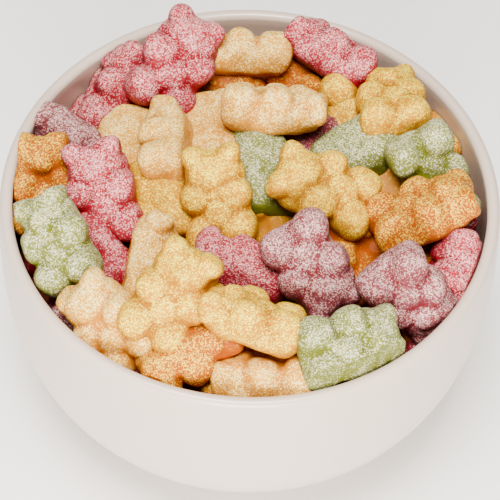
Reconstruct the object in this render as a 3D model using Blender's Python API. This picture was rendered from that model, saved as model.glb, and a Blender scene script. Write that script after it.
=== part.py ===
"""Gummy bears heaped in a round stoneware bowl.

Two solids, in metres, +Z up, with the origin at the middle of the bowl's foot: the turned
bowl, and the heap of sweets as one body out to its uneven outline. A gummy bear is built
from ten rounded lobes with the flat back of its mould, and the bears lie where the
placement list puts them, on a turned core that stands for the bears out of sight.
"""

import math

import bmesh
import bpy
from mathutils import Matrix, Vector

MM = 0.001  # metres in a millimetre; every size below is in millimetres or degrees

# ---- Bowl ------------------------------------------------------------------------------
BOWL_HEIGHT = 69.0
RIM_RADIUS = 60.0  # outer radius at the lip
BELLY_RADIUS = 61.0  # widest outer radius
BELLY_DEPTH = 15.3  # how far below the lip the widest ring lies
BODY_DEPTH = 71.5  # depth at which the outer curve would close, just below the foot
BODY_FULLNESS = 2.70  # exponent of the body's curve: 2 is an ellipse, more is fuller
WALL = 3.1  # wall thickness from the lip down to the belly
WELL_DEPTH = 64.0  # from the lip down to the inside floor
WELL_FULLNESS = 2.55
FOOT_RECESS_RADIUS = 21.5
FOOT_RECESS_DEPTH = 1.6
BOWL_SEGMENTS = 60
OUTER_STEPS = 9
INNER_STEPS = 8
LIP_STEPS = 4

# ---- One gummy bear: lobe name, centre (across, towards the head, up from the flat back)
#      and half sizes along the same three directions
BEAR_LOBES = {
    "torso": ((0.0, -2.2, 4.4), (7.2, 9.6, 5.2)),
    "chest": ((0.0, 3.0, 4.6), (6.8, 5.6, 5.1)),
    "head": ((0.0, 6.8, 5.0), (6.3, 5.1, 5.7)),
    "snout": ((0.0, 5.4, 8.9), (3.2, 2.7, 2.8)),
    "ear_right": ((4.0, 9.5, 5.4), (3.0, 2.9, 3.6)),
    "ear_left": ((-4.0, 9.5, 5.4), (3.0, 2.9, 3.6)),
    "arm_right": ((4.6, 0.4, 6.4), (3.9, 4.2, 5.0)),
    "arm_left": ((-4.6, 0.4, 6.4), (3.9, 4.2, 5.0)),
    "leg_right": ((4.2, -8.0, 6.0), (4.3, 4.4, 5.4)),
    "leg_left": ((-4.2, -8.0, 6.0), (4.3, 4.4, 5.4)),
}
BEAR_MIDDLE = Vector((0.0, 0.0, 5.8))  # the point that a placement puts in its place
LOBE_SUBDIVISIONS = 2

# ---- Where the bears lie: middle (x, y, z), then heading, pitch and roll of the bear, then
#      its size. Heading is where the head points on the table, pitch how far it points up,
#      and roll turns the belly about the line from feet to head, 0 being belly up.
BEARS = (
    # cherry
    ((-19.5, 36.5, 73.0), (60, 30, 25), 1.08),
    ((-36.0, 36.0, 63.0), (55, 30, -55), 1.04),
    ((-35.5, -3.5, 71.0), (110, 40, -15), 1.02),
    ((-32.5, -16.0, 58.5), (-40, -25, 115), 1.0),
    ((-2.0, -20.5, 65.0), (160, 15, 110), 1.0),
    ((19.0, 44.5, 70.0), (155, 15, 60), 1.0),
    ((47.5, -19.0, 63.0), (70, 35, -70), 1.0),
    ((43.5, -24.0, 56.0), (45, 30, -175), 1.0),
    ((3.5, 46.0, 55.0), (170, 0, 30), 1.0),
    # blackcurrant
    ((-45.0, 17.5, 62.0), (150, 20, -100), 1.0),
    ((15.0, -24.5, 73.0), (-50, -30, 25), 1.0),
    ((38.0, -29.0, 70.0), (-15, -50, 55), 1.0),
    ((11.5, 21.0, 61.0), (10, 5, -175), 1.0),
    ((-30.5, -9.5, 54.0), (80, 10, 40), 1.0),
    # orange
    ((-50.0, 2.5, 66.0), (100, 45, -5), 1.0),
    ((-10.5, 40.5, 60.0), (20, 15, -155), 1.0),
    ((16.0, 41.5, 60.0), (155, 15, 25), 1.0),
    ((41.0, -6.5, 73.0), (20, 15, -25), 1.05),
    ((-17.0, 10.0, 56.0), (95, 35, 90), 1.0),
    ((-12.5, -44.0, 65.0), (25, 20, 150), 1.0),
    ((26.5, -10.0, 59.0), (105, 35, 20), 1.0),
    ((39.5, 26.5, 56.0), (20, 10, 0), 1.0),
    # lime
    ((-45.0, -19.0, 72.0), (120, 30, -35), 0.98),
    ((2.5, 8.0, 66.0), (100, 10, 15), 1.0),
    ((24.0, -45.5, 73.0), (25, -5, 35), 1.0),
    ((26.5, 16.5, 66.0), (25, 20, -180), 1.0),
    ((44.5, 7.0, 69.0), (-45, -45, 25), 1.0),
    # pineapple
    ((-31.0, 17.5, 62.0), (90, -5, 170), 1.0),
    ((-21.0, 12.0, 70.0), (90, -5, -110), 1.0),
    ((-10.0, 21.5, 64.0), (100, -5, 165), 1.0),
    ((-3.5, 45.0, 68.0), (180, 0, 60), 1.0),
    ((5.0, 23.5, 73.0), (0, 0, -45), 1.04),
    ((-22.5, -19.0, 64.5), (80, 35, 95), 1.0),
    ((-31.5, -37.5, 66.0), (140, 25, -55), 1.0),
    ((5.0, -47.5, 62.0), (180, 0, 45), 1.0),
    ((34.0, 9.0, 58.0), (130, 20, 160), 1.0),
    # lemon
    ((-8.0, -5.0, 73.0), (105, 45, -15), 1.0),
    ((-17.0, -35.5, 75.0), (55, 40, 20), 1.04),
    ((1.5, -39.5, 74.0), (165, 10, 40), 1.0),
    ((17.5, -1.0, 73.0), (170, 25, -15), 1.05),
    ((34.0, 28.0, 72.0), (95, -15, -5), 0.97),
    ((24.5, 29.0, 61.0), (-35, -25, 50), 1.0),
    ((22.5, 25.0, 59.5), (55, 30, -170), 1.0),
    ((-21.5, 0.0, 65.0), (115, 10, 145), 1.0),
    ((3.0, -4.0, 58.5), (115, 35, -15), 1.0),
)

# ---- Heap ------------------------------------------------------------------------------
CORE_TOP = 59.0  # height of the packed core in the middle of the bowl
CORE_EDGE = 52.0  # and where it meets the wall
HEAP_FLOOR = 50.0  # the solid under each bear reaches down to here, inside the core
CORE_STEPS = 8
CORE_SEGMENTS = 48
WALL_CLEARANCE = 0.6  # gap kept between the bears and the bowl
CORE_CLEARANCE = 2.0  # and between the core, out of sight, and the bowl
SKIN_VOXEL = 0.9  # grain of the skin that joins the bears into one body
SKIN_SMOOTHING = 6
SKIN_TRIANGLES = 7100


def outer_radius(depth):
    """Return the bowl's outer radius at a depth below the lip."""
    if depth < BELLY_DEPTH:
        rise = 1.0 - depth / BELLY_DEPTH
        return BELLY_RADIUS - (BELLY_RADIUS - RIM_RADIUS) * rise**2
    fall = (depth - BELLY_DEPTH) / (BODY_DEPTH - BELLY_DEPTH)
    return BELLY_RADIUS * (1.0 - fall**BODY_FULLNESS) ** (1.0 / BODY_FULLNESS)


def inner_radius(depth):
    """Return the radius of the bowl's inside at a depth below the lip."""
    if depth < BELLY_DEPTH:
        return outer_radius(max(depth, 0.0)) - WALL
    fall = min((depth - BELLY_DEPTH) / (WELL_DEPTH - BELLY_DEPTH), 1.0)
    return (BELLY_RADIUS - WALL) * (1.0 - fall**WELL_FULLNESS) ** (1.0 / WELL_FULLNESS)


def eased_depths(start, end, steps):
    """Return depths from start to end that crowd towards the end, where the curve turns in."""
    return [start + (end - start) * math.sin(0.5 * math.pi * i / steps) for i in range(steps + 1)]


def bowl_profile():
    """Return the bowl's section as (radius, height), from the foot's middle up and back in."""
    foot_radius = outer_radius(BOWL_HEIGHT)
    points = [
        (0.0, FOOT_RECESS_DEPTH),
        (FOOT_RECESS_RADIUS - FOOT_RECESS_DEPTH, FOOT_RECESS_DEPTH),
        (FOOT_RECESS_RADIUS, 0.0),
        (foot_radius, 0.0),
    ]
    lip_radius = 0.5 * WALL
    for depth in reversed(eased_depths(lip_radius, BOWL_HEIGHT, OUTER_STEPS)[:-1]):
        points.append((outer_radius(depth), BOWL_HEIGHT - depth))
    lip_middle = outer_radius(lip_radius) - lip_radius
    for i in range(1, LIP_STEPS):
        turn = math.pi * i / LIP_STEPS
        height = BOWL_HEIGHT - lip_radius + lip_radius * math.sin(turn)
        points.append((lip_middle + lip_radius * math.cos(turn), height))
    for depth in eased_depths(lip_radius, WELL_DEPTH, INNER_STEPS):
        points.append((max(inner_radius(depth), 0.0), BOWL_HEIGHT - depth))
    return points


def core_profile():
    """Return the packed core's section, from the middle of its floor out and over its top."""
    points = []
    floor_depth = WELL_DEPTH - CORE_CLEARANCE
    for depth in reversed(eased_depths(BOWL_HEIGHT - CORE_EDGE, floor_depth, CORE_STEPS)):
        points.append((max(inner_radius(depth) - CORE_CLEARANCE, 0.0), BOWL_HEIGHT - depth))
    points[0] = (0.0, points[0][1])
    edge_radius = points[-1][0]
    for i in range(1, CORE_STEPS + 1):
        share = 1.0 - i / CORE_STEPS
        points.append((edge_radius * share, CORE_EDGE + (CORE_TOP - CORE_EDGE) * (1.0 - share**2)))
    return points


def turn_profile(bm, profile, segments):
    """Spin a closed section about +Z into bm; points on the axis meet at one vertex."""
    verts = [bm.verts.new((radius, 0.0, height)) for radius, height in profile]
    edges = [bm.edges.new(pair) for pair in zip(verts, verts[1:])]
    bmesh.ops.spin(bm, geom=verts + edges, cent=(0.0, 0.0, 0.0), axis=(0.0, 0.0, 1.0),
                   angle=math.tau, steps=segments, use_merge=True)
    bmesh.ops.remove_doubles(bm, verts=bm.verts[:], dist=0.01)
    bmesh.ops.recalc_face_normals(bm, faces=bm.faces[:])


def bear_frame(place, pose, size):
    """Return the matrix that takes a bear from its own axes to its place in the heap."""
    heading, pitch, roll = (math.radians(angle) for angle in pose)
    head = Vector((math.cos(pitch) * math.cos(heading), math.cos(pitch) * math.sin(heading),
                   math.sin(pitch)))
    level_belly = Vector((-math.sin(pitch) * math.cos(heading),
                          -math.sin(pitch) * math.sin(heading), math.cos(pitch)))
    belly = level_belly * math.cos(roll) + head.cross(level_belly) * math.sin(roll)
    turn = Matrix((head.cross(belly), head, belly)).transposed().to_4x4()
    return Matrix.Translation(place) @ turn @ Matrix.Scale(size, 4) @ Matrix.Translation(-BEAR_MIDDLE)


def add_bear(bm, place, pose, size):
    """Add a bear's lobes to bm, flat at the mould's back and standing on the packed core.

    What lies under a lobe's widest line is out of sight, so the heap is solid there.
    """
    frame = bear_frame(Vector(place), pose, size)
    for centre, half_sizes in BEAR_LOBES.values():
        lobe = bmesh.ops.create_icosphere(bm, subdivisions=LOBE_SUBDIVISIONS, radius=1.0)
        middle = frame @ Vector(centre)
        for vert in lobe["verts"]:
            point = Vector(c + h * u for c, h, u in zip(centre, half_sizes, vert.co))
            point.z = max(point.z, 0.0)
            vert.co = frame @ point
            if vert.co.z < middle.z:
                vert.co.z = min(vert.co.z, HEAP_FLOOR)


def object_from(bm, name, material):
    """Turn bm, in millimetres, into a smooth-shaded object of the given material."""
    bmesh.ops.scale(bm, vec=(MM, MM, MM), verts=bm.verts[:])
    mesh = bpy.data.meshes.new(name)
    bm.to_mesh(mesh)
    bm.free()
    mesh.materials.append(material)
    mesh.shade_smooth()
    mesh.set_sharp_from_angle(angle=math.radians(40))
    part = bpy.data.objects.new(name, mesh)
    bpy.context.scene.collection.objects.link(part)
    return part


def plain_material(name, colour, roughness, subsurface=0.0):
    """Return a Principled material in one colour."""
    material = bpy.data.materials.new(name)
    material.use_nodes = True
    shader = material.node_tree.nodes["Principled BSDF"]
    shader.inputs["Base Color"].default_value = (*colour, 1.0)
    shader.inputs["Roughness"].default_value = roughness
    shader.inputs["Subsurface Weight"].default_value = subsurface
    return material


def skin_modifiers(heap):
    """Join the overlapping lobes into one skin, then thin its triangles."""
    skin = heap.modifiers.new("one skin", "REMESH")
    skin.mode = "VOXEL"
    skin.voxel_size = SKIN_VOXEL * MM
    smooth = heap.modifiers.new("soft edges", "SMOOTH")
    smooth.iterations = SKIN_SMOOTHING
    smooth.factor = 0.5


def thin_triangles(heap, count):
    """Thin the heap's skin to about count triangles."""
    now = sum(len(polygon.vertices) - 2 for polygon in heap.data.polygons)
    thin = heap.modifiers.new("fewer triangles", "DECIMATE")
    thin.ratio = min(1.0, count / now)
    thin.use_collapse_triangulate = True


def bake_modifiers(heap):
    """Replace the heap's mesh with what its modifiers make of it."""
    graph = bpy.context.evaluated_depsgraph_get()
    baked = bpy.data.meshes.new_from_object(heap.evaluated_get(graph))
    heap.modifiers.clear()
    heap.data = baked


def keep_outer_shell(bm):
    """Delete every shell but the largest, such as pockets shut in between the bears."""
    unseen = set(bm.verts)
    shells = []
    while unseen:
        shell = {unseen.pop()}
        edge_of_shell = list(shell)
        while edge_of_shell:
            vert = edge_of_shell.pop()
            for edge in vert.link_edges:
                neighbour = edge.other_vert(vert)
                if neighbour in unseen:
                    unseen.remove(neighbour)
                    shell.add(neighbour)
                    edge_of_shell.append(neighbour)
        shells.append(shell)
    largest = max(shells, key=len)
    inner = [vert for vert in bm.verts if vert not in largest]
    bmesh.ops.delete(bm, geom=inner, context="VERTS")


def press_inside_bowl(bm):
    """Hold every point of bm, in metres, clear of the bowl's wall and inside its lip."""
    for vert in bm.verts:
        depth = max(BOWL_HEIGHT - vert.co.z / MM, 0.0)
        limit = (inner_radius(depth) - WALL_CLEARANCE) * MM
        radius = math.hypot(vert.co.x, vert.co.y)
        if radius > limit:
            vert.co.x *= limit / radius
            vert.co.y *= limit / radius


def tidy_heap(heap):
    """Leave the heap as one closed shell that clears the bowl."""
    bm = bmesh.new()
    bm.from_mesh(heap.data)
    keep_outer_shell(bm)
    press_inside_bowl(bm)
    bmesh.ops.triangulate(bm, faces=bm.faces[:])
    bm.to_mesh(heap.data)
    bm.free()
    heap.data.shade_smooth()


def build_bowl():
    """Build the turned bowl."""
    bm = bmesh.new()
    turn_profile(bm, bowl_profile(), BOWL_SEGMENTS)
    glaze = plain_material("stoneware glaze", (0.77, 0.72, 0.68), 0.25)
    return object_from(bm, "bowl", glaze)


def build_heap():
    """Build the heap of bears as one body."""
    bm = bmesh.new()
    turn_profile(bm, core_profile(), CORE_SEGMENTS)
    for place, pose, size in BEARS:
        add_bear(bm, place, pose, size)
    sugared = plain_material("sugared gummy", (0.80, 0.48, 0.30), 0.6, 0.3)
    heap = object_from(bm, "gummy_bear_heap", sugared)
    skin_modifiers(heap)
    bake_modifiers(heap)
    thin_triangles(heap, SKIN_TRIANGLES)
    bake_modifiers(heap)
    tidy_heap(heap)
    return heap


def main():
    """Clear the scene and build the bowl and its heap of bears."""
    for old in list(bpy.data.objects):
        bpy.data.objects.remove(old, do_unlink=True)
    build_bowl()
    build_heap()


main()
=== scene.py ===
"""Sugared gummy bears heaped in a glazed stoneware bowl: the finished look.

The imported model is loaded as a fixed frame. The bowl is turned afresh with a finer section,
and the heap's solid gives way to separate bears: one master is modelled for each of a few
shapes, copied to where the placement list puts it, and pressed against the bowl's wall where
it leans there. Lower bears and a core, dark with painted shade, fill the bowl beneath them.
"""

import logging
import math
import random
from dataclasses import dataclass, field, replace
from enum import Enum
from typing import Iterator

import bpy
import numpy as np
from mathutils import Matrix, Vector, noise

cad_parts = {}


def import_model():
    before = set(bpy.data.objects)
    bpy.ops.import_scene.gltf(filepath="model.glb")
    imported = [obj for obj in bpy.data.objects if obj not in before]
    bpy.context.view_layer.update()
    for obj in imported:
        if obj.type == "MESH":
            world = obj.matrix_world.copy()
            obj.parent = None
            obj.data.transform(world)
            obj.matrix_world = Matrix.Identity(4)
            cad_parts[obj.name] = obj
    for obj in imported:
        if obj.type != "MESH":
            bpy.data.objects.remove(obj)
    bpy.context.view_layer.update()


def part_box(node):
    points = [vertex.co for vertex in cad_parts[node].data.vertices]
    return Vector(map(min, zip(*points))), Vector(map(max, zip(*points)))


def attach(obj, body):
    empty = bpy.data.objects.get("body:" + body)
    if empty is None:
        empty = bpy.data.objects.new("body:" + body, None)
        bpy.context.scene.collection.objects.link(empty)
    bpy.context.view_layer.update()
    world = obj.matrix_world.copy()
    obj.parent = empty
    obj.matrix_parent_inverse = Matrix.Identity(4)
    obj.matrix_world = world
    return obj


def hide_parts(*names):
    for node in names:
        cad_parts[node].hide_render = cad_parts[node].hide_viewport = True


MM = 0.001  # metres in a millimetre; sizes below are in millimetres unless they say otherwise

NOISE_SEED = 11  # unseeded, the noise would start from the time of day
# The crease mark thins the sugar so the darker gum shows in folds: partly thinner sugar, partly painted shade.
CREASE_SPREAD = 2  # passes that widen a crease's mark
CREASE_FULL = 0.03  # inward bow of the skin, over one grain, that counts as a full crease

log = logging.getLogger("gummy_bears")

Triple = tuple[float, float, float]


class Flavour(Enum):
    """The six fruit flavours in the mix."""

    CHERRY = "cherry"
    BLACKCURRANT = "blackcurrant"
    ORANGE = "orange"
    LIME = "lime"
    PINEAPPLE = "pineapple"
    LEMON = "lemon"


# ---- Small tools -----------------------------------------------------------------------


def to_linear(hex_colour: str, alpha: float = 1.0) -> tuple[float, float, float, float]:
    """Turn an sRGB hex colour into linear RGBA.

    Args:
        hex_colour: Six hex digits, with or without a leading hash.
        alpha: Opacity of the result.

    Returns:
        The colour as linear red, green, blue and alpha.
    """
    digits = hex_colour.lstrip("#")
    channels = [int(digits[i : i + 2], 16) / 255.0 for i in (0, 2, 4)]
    linear = [c / 12.92 if c <= 0.04045 else ((c + 0.055) / 1.055) ** 2.4 for c in channels]
    return (linear[0], linear[1], linear[2], alpha)


def add_node(tree: bpy.types.NodeTree, kind: str, links: dict | None = None, **settings) -> bpy.types.Node:
    """Add a node with its settings and its links.

    Args:
        tree: The material's node tree.
        kind: The node's type name.
        links: Input name or index, to a fixed value or to the output socket that feeds it.
        **settings: Attributes to set on the node.

    Returns:
        The new node.
    """
    node = tree.nodes.new(kind)
    for name, value in settings.items():
        setattr(node, name, value)
    for key, value in (links or {}).items():
        if isinstance(value, bpy.types.NodeSocket):
            tree.links.new(value, node.inputs[key])
        else:
            node.inputs[key].default_value = value
    return node


def new_material(name: str) -> tuple[bpy.types.Material, bpy.types.NodeTree, bpy.types.Node]:
    """Return a new node material, its tree and its Principled shader."""
    material = bpy.data.materials.new(name)
    material.use_nodes = True
    tree = material.node_tree
    return material, tree, tree.nodes["Principled BSDF"]


def deselect_all() -> None:
    """Leave object mode's selection empty."""
    for item in bpy.context.selected_objects:
        item.select_set(False)


def select_only(*objects: bpy.types.Object) -> None:
    """Select the given objects alone and make the first one active."""
    deselect_all()
    for item in objects:
        item.select_set(True)
    bpy.context.view_layer.objects.active = objects[0]


def apply_modifier(piece: bpy.types.Object, kind: str, **settings) -> None:
    """Add a modifier to a piece, set it and apply it.

    Args:
        piece: The object to change.
        kind: The modifier's type name.
        **settings: Attributes to set on the modifier.
    """
    select_only(piece)
    modifier = piece.modifiers.new(kind.title(), kind)
    for name, value in settings.items():
        setattr(modifier, name, value)
    bpy.ops.object.modifier_apply(modifier=modifier.name)


def join_objects(objects: list[bpy.types.Object], name: str) -> bpy.types.Object:
    """Join objects into one of the given name and return it."""
    select_only(*objects)
    if len(objects) > 1:
        bpy.ops.object.join()
    joined = bpy.context.view_layer.objects.active
    joined.name = name
    joined.data.name = name
    return joined


def read_points(mesh: bpy.types.Mesh) -> np.ndarray:
    """Return a mesh's vertex positions as an (n, 3) array."""
    flat = np.empty(len(mesh.vertices) * 3, np.float32)
    mesh.vertices.foreach_get("co", flat)
    return flat.reshape(-1, 3).astype(float)


def write_points(mesh: bpy.types.Mesh, points: np.ndarray) -> None:
    """Put an (n, 3) array back as a mesh's vertex positions."""
    mesh.vertices.foreach_set("co", points.astype(np.float32).ravel())
    mesh.update()


def dress(piece: bpy.types.Object, material: bpy.types.Material, slot: str, *nodes: str) -> None:
    """Give a finished piece its material and body, and hide the nodes it stands for.

    Args:
        piece: The finished object.
        material: Its material.
        slot: Not used; the record's material slot that the finish belongs to.
        *nodes: CAD nodes that the piece replaces.
    """
    piece.data.materials.clear()
    piece.data.materials.append(material)
    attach(piece, "root")
    if nodes:
        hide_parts(*nodes)
    log.info("%s: %d faces", piece.name, len(piece.data.polygons))


# ---- Bowl ------------------------------------------------------------------------------


@dataclass
class BowlShape:
    """Section of the turned bowl, as the CAD solid has it, in millimetres."""

    height: float
    rim_radius: float = 60.0
    belly_radius: float = 61.0
    belly_depth: float = 15.3
    body_depth: float = 71.5
    body_fullness: float = 2.70
    wall: float = 3.1
    well_depth: float = 64.0
    well_fullness: float = 2.55
    foot_recess_radius: float = 21.5
    foot_recess_depth: float = 1.6
    foot_round: float = 0.7

    def outer_radius(self, depth: float) -> float:
        """Return the outer radius at a depth below the lip."""
        if depth < self.belly_depth:
            rise = 1.0 - depth / self.belly_depth
            return self.belly_radius - (self.belly_radius - self.rim_radius) * rise**2
        fall = (depth - self.belly_depth) / (self.body_depth - self.belly_depth)
        return self.belly_radius * (1.0 - fall**self.body_fullness) ** (1.0 / self.body_fullness)

    def inner_radius(self, depth: float) -> float:
        """Return the radius of the inside at a depth below the lip."""
        if depth < self.belly_depth:
            return self.outer_radius(max(depth, 0.0)) - self.wall
        fall = min((depth - self.belly_depth) / (self.well_depth - self.belly_depth), 1.0)
        full = (1.0 - fall**self.well_fullness) ** (1.0 / self.well_fullness)
        return (self.belly_radius - self.wall) * full

    def press_inside(self, points: np.ndarray, clearance: float) -> np.ndarray:
        """Hold points, in metres, inside the bowl's wall and lip.

        Args:
            points: An (n, 3) array of positions.
            clearance: Gap to keep to the wall, in millimetres.

        Returns:
            The positions, moved towards the axis where they lay beyond the gap.
        """
        held = points.copy()
        radii = np.hypot(points[:, 0], points[:, 1])
        depths = np.maximum(self.height - points[:, 2] / MM, 0.0)
        table_depths = np.linspace(0.0, self.well_depth, 200)
        table_radii = [self.inner_radius(depth) - clearance for depth in table_depths]
        limits = np.interp(depths, table_depths, table_radii) * MM
        shrink = np.minimum(limits / np.maximum(radii, 1e-9), 1.0)
        held[:, :2] *= shrink[:, None]
        return held


@dataclass
class Bowl:
    """The stoneware bowl, drawn up ring by ring from its foot like a thrown pot."""

    shape: BowlShape
    segments: int = 192
    outer_steps: int = 44
    inner_steps: int = 36
    lip_steps: int = 12

    def rings(self) -> Iterator[tuple[float, float]]:
        """Yield the section as (radius, height) from the foot's recess up and back inside."""
        shape = self.shape
        foot = shape.outer_radius(shape.height)
        yield shape.foot_recess_radius - shape.foot_recess_depth, shape.foot_recess_depth
        yield shape.foot_recess_radius - 0.4, 0.3
        yield shape.foot_recess_radius + 0.1, 0.0
        yield foot - shape.foot_round, 0.0
        lip = 0.5 * shape.wall
        for i in range(self.outer_steps):
            share = 1.0 - i / self.outer_steps
            depth = lip + (shape.height - lip) * math.sin(0.5 * math.pi * share)
            rise = shape.foot_round * 0.3 if i == 0 else 0.0
            yield shape.outer_radius(depth), shape.height - depth + rise
        middle = shape.outer_radius(lip) - lip
        for i in range(self.lip_steps + 1):
            turn = math.pi * i / self.lip_steps
            yield middle + lip * math.cos(turn), shape.height - lip + lip * math.sin(turn)
        for i in range(1, self.inner_steps):
            depth = lip + (shape.well_depth - lip) * math.sin(0.5 * math.pi * i / self.inner_steps)
            yield shape.inner_radius(depth), shape.height - depth

    def model(self) -> bpy.types.Object:
        """Model the bowl and return it."""
        rings = list(self.rings())
        radius, height = rings[0]
        deselect_all()
        bpy.ops.mesh.primitive_circle_add(vertices=self.segments, radius=radius * MM,
                                          fill_type="NGON", location=(0.0, 0.0, height * MM))
        bowl = bpy.context.active_object
        bowl.name = "stoneware_bowl"
        bpy.ops.object.transform_apply(location=True, rotation=True, scale=True)
        bpy.ops.object.mode_set(mode="EDIT")
        bpy.ops.mesh.select_all(action="SELECT")
        bpy.ops.mesh.flip_normals()
        for next_radius, next_height in rings[1:]:
            scale = next_radius / radius
            bpy.ops.mesh.extrude_region_move(
                TRANSFORM_OT_translate={"value": (0.0, 0.0, (next_height - height) * MM)})
            bpy.ops.transform.resize(value=(scale, scale, 1.0),
                                     center_override=(0.0, 0.0, next_height * MM))
            radius, height = next_radius, next_height
        bpy.ops.mesh.select_all(action="SELECT")
        bpy.ops.mesh.normals_make_consistent(inside=False)
        bpy.ops.object.mode_set(mode="OBJECT")
        bpy.ops.object.shade_smooth_by_angle(angle=math.radians(50))
        return bowl


# ---- Bears -----------------------------------------------------------------------------


@dataclass(frozen=True)
class Lobe:
    """One rounded part of a bear: its middle and half sizes, in millimetres."""

    name: str
    middle: Triple
    half_size: Triple


@dataclass(frozen=True)
class Placement:
    """Where a bear lies: its middle, its heading, pitch and roll, and its size."""

    middle: Triple
    pose: Triple
    size: float = 1.0

    def matrix(self, bear_middle: Vector) -> Matrix:
        """Return the matrix from the bear's own axes, in metres, to its place in the heap.

        Args:
            bear_middle: The bear's own middle, in metres.

        Returns:
            The placing matrix.
        """
        heading, pitch, roll = (math.radians(angle) for angle in self.pose)
        head = Vector((math.cos(pitch) * math.cos(heading), math.cos(pitch) * math.sin(heading),
                       math.sin(pitch)))
        level = Vector((-math.sin(pitch) * math.cos(heading),
                        -math.sin(pitch) * math.sin(heading), math.cos(pitch)))
        belly = level * math.cos(roll) + head.cross(level) * math.sin(roll)
        turn = Matrix((head.cross(belly), head, belly)).transposed().to_4x4()
        place = Matrix.Translation(Vector(self.middle) * MM)
        return place @ turn @ Matrix.Scale(self.size, 4) @ Matrix.Translation(-bear_middle)


@dataclass(frozen=True)
class Slab:
    """The flat body behind the lobes, where the gum filled its mould level."""

    middle: Triple = (0.0, -1.2, 3.9)
    size: Triple = (14.8, 21.6, 8.2)
    rounding: float = 3.8


@dataclass
class BearMould:
    """Shape of a gummy bear: across, towards the head, and up from the mould's flat back."""

    middle: Triple = (0.0, 0.0, 5.8)
    grain: float = 0.5  # edge length of the finished skin
    softness: int = 0  # smoothing passes that melt the lobes into each other
    back_edge: float = 2.2  # height over which the edge round the flat back is softened
    back_softness: int = 14
    slab: Slab = Slab()
    lobe_fullness: float = 2.5  # 2 is an ellipsoid, more is fuller and squarer
    lobes: tuple[Lobe, ...] = (
        Lobe("torso", (0.0, -2.2, 4.6), (7.1, 9.4, 4.9)),
        Lobe("belly", (0.0, -3.1, 6.0), (4.5, 4.9, 4.6)),
        Lobe("chest", (0.0, 2.8, 4.9), (6.8, 5.2, 5.0)),
        Lobe("head", (0.0, 6.9, 5.2), (6.5, 4.8, 5.4)),
        Lobe("snout", (0.0, 5.6, 9.1), (3.1, 2.6, 2.5)),
        Lobe("ear_right", (4.3, 9.9, 5.6), (2.8, 2.7, 3.8)),
        Lobe("ear_left", (-4.3, 9.9, 5.6), (2.8, 2.7, 3.8)),
        Lobe("arm_right", (4.8, 0.6, 6.3), (3.8, 4.1, 4.8)),
        Lobe("arm_left", (-4.8, 0.6, 6.3), (3.8, 4.1, 4.8)),
        Lobe("leg_right", (4.3, -8.1, 6.0), (4.3, 4.4, 5.2)),
        Lobe("leg_left", (-4.3, -8.1, 6.0), (4.3, 4.4, 5.2)),
    )

    def cast(self, name: str, wobble: random.Random) -> bpy.types.Object:
        """Model one bear from its lobes.

        Args:
            name: Name of the finished master.
            wobble: Source of the small differences between one cast and the next.

        Returns:
            The master bear, in its own axes and in metres.
        """
        parts = [self.model_slab()]
        for lobe in self.lobes:
            middle = [c + wobble.uniform(-0.25, 0.25) for c in lobe.middle]
            half_size = [h * wobble.uniform(0.96, 1.05) for h in lobe.half_size]
            parts.append(self.model_lobe(middle, half_size))
        bear = join_objects(parts, name)
        self.melt_together(bear, self.grain, 0)
        self.flatten_back(bear)
        self.melt_together(bear, self.grain, self.softness)
        self.round_back(bear)
        self.mark_creases(bear)
        return bear

    def model_lobe(self, middle: list[float], half_size: list[float]) -> bpy.types.Object:
        """Model one rounded part from a ball swollen towards its box."""
        deselect_all()
        bpy.ops.mesh.primitive_uv_sphere_add(segments=32, ring_count=20, radius=1.0)
        lobe = bpy.context.active_object
        points = read_points(lobe.data)
        swell = (np.abs(points) ** self.lobe_fullness).sum(1, keepdims=True) ** (-1.0 / self.lobe_fullness)
        write_points(lobe.data, (points * swell * np.array(half_size) + np.array(middle)) * MM)
        return lobe

    def model_slab(self) -> bpy.types.Object:
        """Model the flat body with its corners rounded."""
        deselect_all()
        bpy.ops.mesh.primitive_cube_add(size=MM, location=[c * MM for c in self.slab.middle],
                                        scale=self.slab.size)
        bpy.ops.object.transform_apply(location=True, rotation=True, scale=True)
        slab = bpy.context.active_object
        bpy.ops.object.mode_set(mode="EDIT")
        bpy.ops.mesh.select_all(action="SELECT")
        bpy.ops.mesh.bevel(offset=self.slab.rounding * MM, segments=6, affect="EDGES")
        bpy.ops.object.mode_set(mode="OBJECT")
        return slab

    def melt_together(self, bear: bpy.types.Object, grain: float, passes: int) -> None:
        """Turn a bear's parts into one even skin and soften it."""
        apply_modifier(bear, "REMESH", mode="VOXEL", voxel_size=grain * MM)
        if passes:
            apply_modifier(bear, "SMOOTH", iterations=passes, factor=0.5)

    def flatten_back(self, bear: bpy.types.Object) -> None:
        """Cut the bear flat where the gum met the open top of its mould."""
        select_only(bear)
        bpy.ops.object.mode_set(mode="EDIT")
        bpy.ops.mesh.select_all(action="SELECT")
        bpy.ops.mesh.bisect(plane_co=(0.0, 0.0, 0.0), plane_no=(0.0, 0.0, 1.0),
                            clear_inner=True, use_fill=True)
        bpy.ops.object.mode_set(mode="OBJECT")

    def round_back(self, bear: bpy.types.Object) -> None:
        """Soften the edge round the flat back, where the gum shrank as it set."""
        group = bear.vertex_groups.new(name="back")
        height = read_points(bear.data)[:, 2] / MM
        group.add([int(i) for i in np.flatnonzero(height < self.back_edge)], 1.0, "REPLACE")
        apply_modifier(bear, "SMOOTH", iterations=self.back_softness, factor=0.5, vertex_group="back")
        bear.vertex_groups.clear()

    def mark_creases(self, bear: bpy.types.Object) -> None:
        """Store on each point how deep it lies in a crease, 0 on open skin and 1 in a fold."""
        mesh = bear.data
        points = read_points(mesh)
        edges = np.empty(len(mesh.edges) * 2, np.int32)
        mesh.edges.foreach_get("vertices", edges)
        ends = edges.reshape(-1, 2)
        normals = np.empty(len(points) * 3, np.float32)
        mesh.vertices.foreach_get("normal", normals)
        count = np.bincount(ends.ravel(), minlength=len(points)).astype(float)

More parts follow.
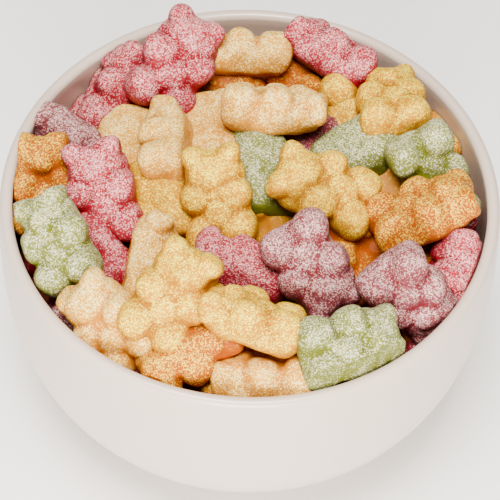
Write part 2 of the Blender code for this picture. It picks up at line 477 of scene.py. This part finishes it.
        def neighbour_mean(values: np.ndarray) -> np.ndarray:
            """Average each point's neighbours along the edges."""
            total = np.zeros_like(values)
            np.add.at(total, ends[:, 0], values[ends[:, 1]])
            np.add.at(total, ends[:, 1], values[ends[:, 0]])
            return total / count[:, None]

        hollow = ((neighbour_mean(points) - points) * normals.reshape(-1, 3)).sum(1, keepdims=True)
        for _ in range(CREASE_SPREAD):
            hollow = 0.5 * hollow + 0.5 * neighbour_mean(hollow)
        depth = np.clip(hollow[:, 0] / (CREASE_FULL * MM), 0.0, 1.0)
        mesh.attributes.new("crease", "FLOAT", "POINT").data.foreach_set("value", depth.astype(np.float32))


@dataclass(frozen=True)
class HeapSkyline:
    """Height of the heap's top over a grid, to tell how deep a point lies between bears, where the gum finish
    paints shade.
    """

    grid: float = 1.0
    reach: float = 5.0  # radius over which the top is averaged
    deep: float = 9.0  # depth at which the painted shade is full
    half: int = 64

    def mark_painted_shade(self, pieces: list[bpy.types.Object]) -> None:
        """Store on each point of the pieces how deep it lies below the bears around it, which the gum finish
        turns into painted shade.

        Args:
            pieces: Finished pieces, each with its mesh in place.
        """
        every = np.concatenate([read_points(piece.data) for piece in pieces]) / MM
        size = 2 * self.half
        top = np.zeros((size, size))
        np.maximum.at(top, self.cells(every), every[:, 2])
        steps = int(self.reach / self.grid)
        total = np.zeros_like(top)
        count = 0
        for dx in range(-steps, steps + 1):
            for dy in range(-steps, steps + 1):
                if dx * dx + dy * dy <= steps * steps:
                    total += np.roll(top, (dx, dy), (0, 1))
                    count += 1
        average = total / count
        for piece in pieces:
            points = read_points(piece.data) / MM
            depth = np.clip((average[self.cells(points)] - points[:, 2]) / self.deep, 0.0, 1.0)
            # painted shade: depth below the bears around, from 0 on top to 1 deep in the heap
            layer = piece.data.attributes.new("painted_shade_depth", "FLOAT", "POINT")
            layer.data.foreach_set("value", depth.astype(np.float32))

    def cells(self, points: np.ndarray) -> tuple[np.ndarray, np.ndarray]:
        """Return the grid cells that points, in millimetres, fall in."""
        index = np.clip((points[:, :2] / self.grid + self.half).astype(int), 0, 2 * self.half - 1)
        return index[:, 0], index[:, 1]


@dataclass
class BearHeap:
    """All the bears in the bowl, one piece for each flavour."""

    bowl: BowlShape
    mould: BearMould = field(default_factory=BearMould)
    masters: int = 5
    lower_bears: tuple[tuple[float, int], ...] = ((0.0, 1), (15.0, 6), (30.0, 11), (44.0, 16))
    lower_height: float = 53.5  # middle of the layer that shows through the gaps
    lower_grain: float = 1.0
    clearance: float = 0.25
    unevenness: float = 0.4  # how far a bear's skin strays from its master's
    unevenness_scale: float = 6.0  # and over what length
    placements: dict[Flavour, tuple[Placement, ...]] = field(default_factory=dict)

    def build(self, finishes: dict[Flavour, bpy.types.Material]) -> list[bpy.types.Object]:
        """Cast, place and dress every bear.

        Args:
            finishes: Material of each flavour.

        Returns:
            One joined piece for each flavour.
        """
        casts = [self.mould.cast(f"bear_master_{i}", random.Random(40 + i)) for i in range(self.masters)]
        coarse = replace(self.mould, grain=self.lower_grain)
        lower_cast = coarse.cast("lower_bear_master", random.Random(60))
        lower = self.scatter_lower_bears()
        pieces = []
        count = 0
        for flavour, placements in self.placements.items():
            bears = []
            for placement in placements:
                bears.append(self.place(casts[count % self.masters], placement, count))
                count += 1
            for placement in lower[flavour]:
                bears.append(self.place(lower_cast, placement, count))
                count += 1
            piece = join_objects(bears, f"{flavour.value}_bears")
            piece.data.shade_smooth()
            dress(piece, finishes[flavour], "sugared_gummy", "gummy_bear_heap")
            pieces.append(piece)
        casts.append(lower_cast)
        for cast in casts:
            bpy.data.objects.remove(cast, do_unlink=True)
        # paint shade deep between the bears, as a depth that the gum finish reads
        HeapSkyline().mark_painted_shade(pieces)
        return pieces

    def scatter_lower_bears(self) -> dict[Flavour, list[Placement]]:
        """Lay bears of every flavour, ring by ring, in the layer below the placed ones."""
        draw = random.Random(7)
        lower: dict[Flavour, list[Placement]] = {flavour: [] for flavour in Flavour}
        for radius, number in self.lower_bears:
            for i in range(number):
                angle = 2.0 * math.pi * (i + draw.uniform(-0.25, 0.25)) / number
                reach = radius + draw.uniform(-2.0, 2.0)
                middle = (reach * math.cos(angle), reach * math.sin(angle),
                          self.lower_height + draw.uniform(-2.0, 2.0))
                pose = (draw.uniform(0.0, 360.0), draw.uniform(-25.0, 25.0), draw.uniform(0.0, 360.0))
                flavour = draw.choice([Flavour.CHERRY, Flavour.ORANGE, Flavour.ORANGE,
                                       Flavour.PINEAPPLE, Flavour.LEMON, Flavour.BLACKCURRANT])
                lower[flavour].append(Placement(middle, pose))
        return lower

    def place(self, cast: bpy.types.Object, placement: Placement, seed: int) -> bpy.types.Object:
        """Copy a master to its place, make it its own bear and press it inside the bowl."""
        bear = cast.copy()
        bear.data = cast.data.copy()
        bpy.context.scene.collection.objects.link(bear)
        points = read_points(bear.data)
        drift = Vector((seed * 3.7, seed * 1.9, 0.0))
        scale = 1.0 / (self.unevenness_scale * MM)
        for i, point in enumerate(points):
            shift = noise.noise_vector(Vector(point) * scale + drift)
            points[i] += np.array(shift) * self.unevenness * MM * 2.0
        matrix = np.array(placement.matrix(Vector(self.mould.middle) * MM))
        points = points @ matrix[:3, :3].T + matrix[:3, 3]
        write_points(bear.data, self.bowl.press_inside(points, self.clearance))
        return bear


PLACEMENTS: dict[Flavour, tuple[Placement, ...]] = {
    Flavour.CHERRY: (
        Placement((-19.5, 36.5, 73.0), (60, 30, 25), 1.08),
        Placement((-36.0, 36.0, 63.0), (55, 30, -55), 1.04),
        Placement((-35.5, -3.5, 71.0), (110, 40, -15), 1.02),
        Placement((-32.5, -16.0, 58.5), (-40, -25, 115)),
        Placement((-2.0, -20.5, 65.0), (160, 15, 110)),
        Placement((19.0, 44.5, 70.0), (155, 15, 60)),
        Placement((47.5, -19.0, 63.0), (70, 35, -70)),
        Placement((43.5, -24.0, 56.0), (45, 30, -175)),
        Placement((3.5, 46.0, 55.0), (170, 0, 30)),
    ),
    Flavour.BLACKCURRANT: (
        Placement((-45.0, 17.5, 62.0), (150, 20, -100)),
        Placement((15.0, -24.5, 73.0), (-50, -30, 25)),
        Placement((38.0, -29.0, 70.0), (-15, -50, 55)),
        Placement((11.5, 21.0, 61.0), (10, 5, -175)),
        Placement((-30.5, -9.5, 54.0), (80, 10, 40)),
    ),
    Flavour.ORANGE: (
        Placement((-50.0, 2.5, 66.0), (100, 45, -5)),
        Placement((-10.5, 40.5, 60.0), (20, 15, -155)),
        Placement((16.0, 41.5, 60.0), (155, 15, 25)),
        Placement((41.0, -6.5, 73.0), (20, 15, -25), 1.05),
        Placement((-17.0, 10.0, 56.0), (95, 35, 90)),
        Placement((-12.5, -44.0, 65.0), (25, 20, 150)),
        Placement((26.5, -10.0, 59.0), (105, 35, 20)),
        Placement((39.5, 26.5, 56.0), (20, 10, 0)),
    ),
    Flavour.LIME: (
        Placement((-45.0, -19.0, 72.0), (120, 30, -35), 0.98),
        Placement((2.5, 8.0, 66.0), (100, 10, 195)),
        Placement((24.0, -45.5, 73.0), (25, -5, 35)),
        Placement((26.5, 16.5, 66.0), (25, 20, -180)),
        Placement((44.5, 7.0, 69.0), (-45, -45, 25)),
    ),
    Flavour.PINEAPPLE: (
        Placement((-31.0, 17.5, 62.0), (90, -5, 170)),
        Placement((-21.0, 12.0, 70.0), (90, -5, -110)),
        Placement((-10.0, 21.5, 64.0), (100, -5, 165)),
        Placement((-3.5, 45.0, 68.0), (180, 0, 60)),
        Placement((5.0, 23.5, 73.0), (0, 0, -45), 1.04),
        Placement((-22.5, -19.0, 64.5), (80, 35, 95)),
        Placement((-31.5, -37.5, 66.0), (140, 25, -55)),
        Placement((5.0, -47.5, 62.0), (180, 0, 45)),
        Placement((34.0, 9.0, 58.0), (130, 20, 160)),
    ),
    Flavour.LEMON: (
        Placement((-8.0, -5.0, 73.0), (105, 45, -15)),
        Placement((-17.0, -35.5, 75.0), (55, 40, 20), 1.04),
        Placement((1.5, -39.5, 74.0), (165, 10, 40)),
        Placement((17.5, -1.0, 73.0), (170, 25, -15), 1.05),
        Placement((34.0, 28.0, 72.0), (95, -15, -5), 0.97),
        Placement((24.5, 29.0, 61.0), (-35, -25, 50)),
        Placement((22.5, 25.0, 59.5), (55, 30, -170)),
        Placement((-21.5, 0.0, 65.0), (115, 10, 145)),
        Placement((3.0, -4.0, 58.5), (115, 35, -15)),
    ),
}


@dataclass
class PackedCore:
    """The unseen middle of the heap, smaller than the solid that it stands in; its dark finish is painted
    shade.
    """

    bowl: BowlShape
    top: float = 55.0
    edge: float = 47.0
    clearance: float = 1.2
    segments: int = 96
    rings: int = 16

    def model(self) -> bpy.types.Object:
        """Model the core as a filled, domed plug and return it."""
        deselect_all()
        bpy.ops.mesh.primitive_uv_sphere_add(segments=self.segments, ring_count=2 * self.rings,
                                             radius=1.0)
        core = bpy.context.active_object
        core.name = "packed_core"
        points = read_points(core.data)
        floor = self.bowl.height - self.bowl.well_depth + self.clearance
        flat = np.hypot(points[:, 0], points[:, 1])
        angle = np.arctan2(points[:, 1], points[:, 0])
        upper = points[:, 2] >= 0.0
        rise = np.where(upper, points[:, 2], 0.0)
        height = np.where(upper, self.edge + (self.top - self.edge) * rise,
                          floor + (self.edge - floor) * (1.0 + points[:, 2]))
        limit = np.array([self.bowl.inner_radius(self.bowl.height - z) for z in height])
        radius = np.where(upper, flat * (limit - self.clearance), np.minimum(
            limit - self.clearance, flat * self.bowl.belly_radius))
        radius = np.maximum(radius, 0.0)
        shaped = np.stack([radius * np.cos(angle), radius * np.sin(angle), height], 1) * MM
        write_points(core.data, shaped)
        core.data.shade_smooth()
        return core


# ---- Finishes --------------------------------------------------------------------------


@dataclass(frozen=True)
class SugaredGummyFinish:
    """Soft fruit gum, cast in starch and tossed in fine sugar.

    The gum is clear and deeply coloured; the crystals scatter white and veil it, so the
    sweet looks frosted on top. Its own darker colour comes through in creases and underneath,
    partly where the sugar is thin and partly as painted shade, and deep between the bears,
    where it is painted shade.
    """

    name: str
    gum: str
    frost: str
    sparkle: str
    crystal: float = 0.29  # spacing of the crystals, drawn a little coarse so that they show
    patch: float = 3.5  # size of the patches with more or less sugar
    veil: float = 0.9  # how far a full coat hides the gum between its crystals

    def material(self) -> bpy.types.Material:
        """Build the material."""
        material, tree, shader = new_material(self.name)
        coords = add_node(tree, "ShaderNodeTexCoord").outputs["Object"]
        # sugar cover with painted shade taken off; where it is low the darker gum shows
        sugar_less_painted_shade = self.sugar_and_painted_shade(tree, coords)
        cells = add_node(tree, "ShaderNodeTexVoronoi",
                         {"Vector": coords, "Scale": 1.0 / (self.crystal * MM)})
        draw = add_node(tree, "ShaderNodeSeparateColor", {"Color": cells.outputs["Color"]})
        chance = add_node(tree, "ShaderNodeMath", {0: draw.outputs["Red"], 1: sugar_less_painted_shade},
                          operation="ADD")
        present = add_node(tree, "ShaderNodeMapRange",
                           {"Value": chance.outputs[0], "From Min": 1.0, "From Max": 1.6})
        dot = add_node(tree, "ShaderNodeMapRange",
                       {"Value": cells.outputs["Distance"], "From Min": 0.45, "From Max": 0.75,
                        "To Min": 1.0, "To Max": 0.0})
        crystals = add_node(tree, "ShaderNodeMath", {0: present.outputs["Result"], 1: dot.outputs["Result"]},
                            operation="MULTIPLY")
        # in creases the veil thins and the darker gum shows: partly thinner sugar, partly painted shade
        crease = add_node(tree, "ShaderNodeAttribute", attribute_name="crease")
        open_skin = add_node(tree, "ShaderNodeMapRange",
                             {"Value": crease.outputs["Fac"], "To Min": self.veil, "To Max": 0.1})
        veil = add_node(tree, "ShaderNodeMath", {0: sugar_less_painted_shade, 1: open_skin.outputs["Result"]},
                        operation="MULTIPLY")
        coat = add_node(tree, "ShaderNodeMix",
                        {"Factor": veil.outputs[0], "A": to_linear(self.gum),
                         "B": to_linear(self.frost)}, data_type="RGBA")
        colour = add_node(tree, "ShaderNodeMix",
                          {"Factor": crystals.outputs[0], "A": coat.outputs["Result"],
                           "B": to_linear(self.sparkle)}, data_type="RGBA")
        tree.links.new(colour.outputs["Result"], shader.inputs["Base Color"])
        rough = add_node(tree, "ShaderNodeMapRange",
                         {"Value": sugar_less_painted_shade, "To Min": 0.38, "To Max": 0.6})
        tree.links.new(rough.outputs["Result"], shader.inputs["Roughness"])
        bump = add_node(tree, "ShaderNodeBump",
                        {"Height": chance.outputs[0], "Strength": 0.6, "Distance": 0.1 * MM})
        tree.links.new(bump.outputs["Normal"], shader.inputs["Normal"])
        shader.inputs["IOR"].default_value = 1.48
        shader.inputs["Specular IOR Level"].default_value = 0.06
        shader.inputs["Subsurface Weight"].default_value = 0.35
        shader.inputs["Subsurface Radius"].default_value = (1.0, 0.75, 0.5)
        shader.inputs["Subsurface Scale"].default_value = 2.0 * MM
        return material

    def sugar_and_painted_shade(self, tree: bpy.types.NodeTree, coords: bpy.types.NodeSocket) -> bpy.types.NodeSocket:
        """Work out how thickly the sugar lies, with painted shade taken off: more on top, less in creases, less
        deep between the bears, and in patches.

        Args:
            tree: The material's node tree.
            coords: Object coordinates.

        Returns:
            The sugar less the painted shade, from 0 for uncovered, darkest gum to 1 for a full coat.
        """
        # more sugar on top and less underneath, where the darker gum shows: partly real, partly painted shade
        # on the lower sides
        facing = add_node(tree, "ShaderNodeSeparateXYZ",
                          {"Vector": add_node(tree, "ShaderNodeNewGeometry").outputs["Normal"]})
        upward = add_node(tree, "ShaderNodeMapRange",
                          {"Value": facing.outputs["Z"], "From Min": -0.5, "From Max": 0.8,
                           "To Min": 0.2, "To Max": 0.78})
        patches = add_node(tree, "ShaderNodeTexNoise",
                           {"Vector": coords, "Scale": 1.0 / (self.patch * MM), "Detail": 3.0})
        uneven = add_node(tree, "ShaderNodeMapRange",
                          {"Value": patches.outputs["Fac"], "From Min": 0.3, "From Max": 0.7,
                           "To Min": -0.22, "To Max": 0.22})
        coat = add_node(tree, "ShaderNodeMath", {0: upward.outputs["Result"], 1: uneven.outputs["Result"]},
                        operation="ADD")
        # less sugar in creases, partly thinner sugar and partly painted shade, and much less deep between the
        # bears, which is painted shade
        crease = add_node(tree, "ShaderNodeAttribute", attribute_name="crease")
        painted_shade_depth = add_node(tree, "ShaderNodeAttribute", attribute_name="painted_shade_depth")
        thin_sugar_and_painted_shade = add_node(tree, "ShaderNodeMath", {0: crease.outputs["Fac"], 1: 0.22}, operation="MULTIPLY")
        thin_sugar_and_painted_shade = add_node(tree, "ShaderNodeMath", {0: painted_shade_depth.outputs["Fac"], 1: 0.55, 2: thin_sugar_and_painted_shade.outputs[0]},
                        operation="MULTIPLY_ADD")
        sugar_less_painted_shade = add_node(tree, "ShaderNodeMath", {0: coat.outputs[0], 1: thin_sugar_and_painted_shade.outputs[0]},
                           operation="SUBTRACT", use_clamp=True)
        return sugar_less_painted_shade.outputs[0]


GUMMY_FINISHES: dict[Flavour, SugaredGummyFinish] = {
    Flavour.CHERRY: SugaredGummyFinish("cherry gum in sugar", "#7A0818", "#982C3A", "#E8ACA8"),
    Flavour.BLACKCURRANT: SugaredGummyFinish("blackcurrant gum in sugar", "#661C24", "#7A4046", "#D8B4AC"),
    Flavour.ORANGE: SugaredGummyFinish("orange gum in sugar", "#984400", "#A05000", "#F4CC40"),
    Flavour.LIME: SugaredGummyFinish("lime gum in sugar", "#585C0C", "#767A3C", "#DAD8B4"),
    Flavour.PINEAPPLE: SugaredGummyFinish("pineapple gum in sugar", "#B67010", "#D09820", "#FFECA0"),
    Flavour.LEMON: SugaredGummyFinish("lemon gum in sugar", "#9C6000", "#CC8E00", "#FFEC4C"),
}


@dataclass(frozen=True)
class StonewareGlazeFinish:
    """Off-white stoneware under a clear fired glaze: even, smooth and softly glossy."""

    body: str = "#C8B6A6"
    name: str = "glazed stoneware"

    def material(self) -> bpy.types.Material:
        """Build the material."""
        material, tree, shader = new_material(self.name)
        coords = add_node(tree, "ShaderNodeTexCoord").outputs["Object"]
        drift = add_node(tree, "ShaderNodeTexNoise", {"Vector": coords, "Scale": 1.0 / (30 * MM)})
        tone = add_node(tree, "ShaderNodeMix",
                        {"Factor": drift.outputs["Fac"], "A": to_linear(self.body),
                         "B": to_linear("#CEBDAE")}, data_type="RGBA")
        tree.links.new(tone.outputs["Result"], shader.inputs["Base Color"])
        shader.inputs["Roughness"].default_value = 0.28
        shader.inputs["IOR"].default_value = 1.5
        return material


@dataclass(frozen=True)
class PaintedShadeGumFinish:
    """Painted shade for the gum deep in the heap: a dark wine-brown where little light gets in."""

    name: str = "gum in shade"

    def material(self) -> bpy.types.Material:
        """Build the material."""
        material, tree, shader = new_material(self.name)
        coords = add_node(tree, "ShaderNodeTexCoord").outputs["Object"]
        blobs = add_node(tree, "ShaderNodeTexNoise", {"Vector": coords, "Scale": 1.0 / (12 * MM)})
        # painted shade: dark wine-brown, varying at random
        tone = add_node(tree, "ShaderNodeMix",
                        {"Factor": blobs.outputs["Fac"], "A": to_linear("#4A1008"),
                         "B": to_linear("#8A3010")}, data_type="RGBA")
        tree.links.new(tone.outputs["Result"], shader.inputs["Base Color"])
        shader.inputs["Roughness"].default_value = 0.5
        return material


@dataclass(frozen=True)
class BackdropFinish:
    """Seamless white paper, matt and even."""

    name: str = "white backdrop paper"

    def material(self) -> bpy.types.Material:
        """Build the material."""
        material, tree, shader = new_material(self.name)
        coords = add_node(tree, "ShaderNodeTexCoord").outputs["Object"]
        fibre = add_node(tree, "ShaderNodeTexNoise", {"Vector": coords, "Scale": 1.0 / (2 * MM)})
        tone = add_node(tree, "ShaderNodeMix",
                        {"Factor": fibre.outputs["Fac"], "A": to_linear("#F4F3F1"),
                         "B": to_linear("#F8F7F6")}, data_type="RGBA")
        tree.links.new(tone.outputs["Result"], shader.inputs["Base Color"])
        shader.inputs["Roughness"].default_value = 0.9
        return material


# ---- Studio ----------------------------------------------------------------------------


@dataclass
class Studio:
    """Floor, soft lights and camera."""

    rim_height: float
    elevation: float = 52.37  # degrees above the table
    distance: float = 480.0  # from the middle of the rim
    lens: float = 143.7
    aim: Triple = (0.46, 0.0, 45.3)
    roll: float = 2.33
    floor_half: float = 1500.0

    def lay_floor(self) -> bpy.types.Object:
        """Lay a wide sheet of backdrop paper under the bowl."""
        deselect_all()
        bpy.ops.mesh.primitive_plane_add(size=2.0 * self.floor_half * MM)
        floor = bpy.context.active_object
        floor.name = "backdrop"
        floor.data.materials.append(BackdropFinish().material())
        return floor

    def add_area_light(self, name: str, place: Triple, width: float, watts: float, tint: str) -> None:
        """Hang a square soft light that faces the bowl."""
        lamp = bpy.data.lights.new(name, "AREA")
        lamp.size = width * MM
        lamp.energy = watts
        lamp.color = to_linear(tint)[:3]
        holder = bpy.data.objects.new(name, lamp)
        holder.location = Vector(place) * MM
        holder.rotation_euler = (-holder.location + Vector((0, 0, 50 * MM))).to_track_quat("-Z", "Y").to_euler()
        bpy.context.scene.collection.objects.link(holder)

    def light(self) -> None:
        """Light the bowl with an even sky and soft boxes."""
        world = bpy.data.worlds.new("soft studio")
        world.use_nodes = True
        background = world.node_tree.nodes["Background"]
        background.inputs["Color"].default_value = to_linear("#FFFFFF")
        background.inputs["Strength"].default_value = 0.2
        bpy.context.scene.world = world
        self.add_area_light("key softbox", (-40.0, -150.0, 800.0), 330.0, 17.5, "#FFF9F2")
        self.add_area_light("front fill", (0.0, -640.0, 220.0), 300.0, 13.0, "#FFF9F2")

    def place_camera(self) -> bpy.types.Object:
        """Set the camera at its place and make it the scene's own."""
        rise = math.radians(self.elevation)
        place = Vector((0.0, -self.distance * math.cos(rise),
                        self.rim_height + self.distance * math.sin(rise)))
        forward = (Vector(self.aim) - place).normalized()
        level = forward.cross(Vector((0.0, 0.0, 1.0))).normalized()
        upright = level.cross(forward)
        roll = math.radians(self.roll)
        right = level * math.cos(roll) + upright * math.sin(roll)
        up = upright * math.cos(roll) - level * math.sin(roll)
        turn = Matrix((right, up, -forward)).transposed().to_4x4()
        data = bpy.data.cameras.new("camera")
        data.lens = self.lens
        data.sensor_width = 36.0
        data.clip_start = 0.01
        camera = bpy.data.objects.new("camera", data)
        camera.matrix_world = Matrix.Translation(place * MM) @ turn
        bpy.context.scene.collection.objects.link(camera)
        bpy.context.scene.camera = camera
        return camera


def main() -> None:
    """Build the bowl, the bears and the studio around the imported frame."""
    logging.basicConfig(level=logging.INFO, format="%(name)s: %(message)s")
    noise.seed_set(NOISE_SEED)
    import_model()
    shape = BowlShape(height=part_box("bowl")[1].z / MM)
    studio = Studio(rim_height=shape.height)
    studio.lay_floor()
    studio.light()
    studio.place_camera()
    dress(Bowl(shape).model(), StonewareGlazeFinish().material(), "stoneware_glaze", "bowl")
    finishes = {flavour: finish.material() for flavour, finish in GUMMY_FINISHES.items()}
    BearHeap(shape, placements=PLACEMENTS).build(finishes)
    # the core's dark finish is painted shade
    dress(PackedCore(shape).model(), PaintedShadeGumFinish().material(), "sugared_gummy", "gummy_bear_heap")


if __name__ == "__main__":
    main()
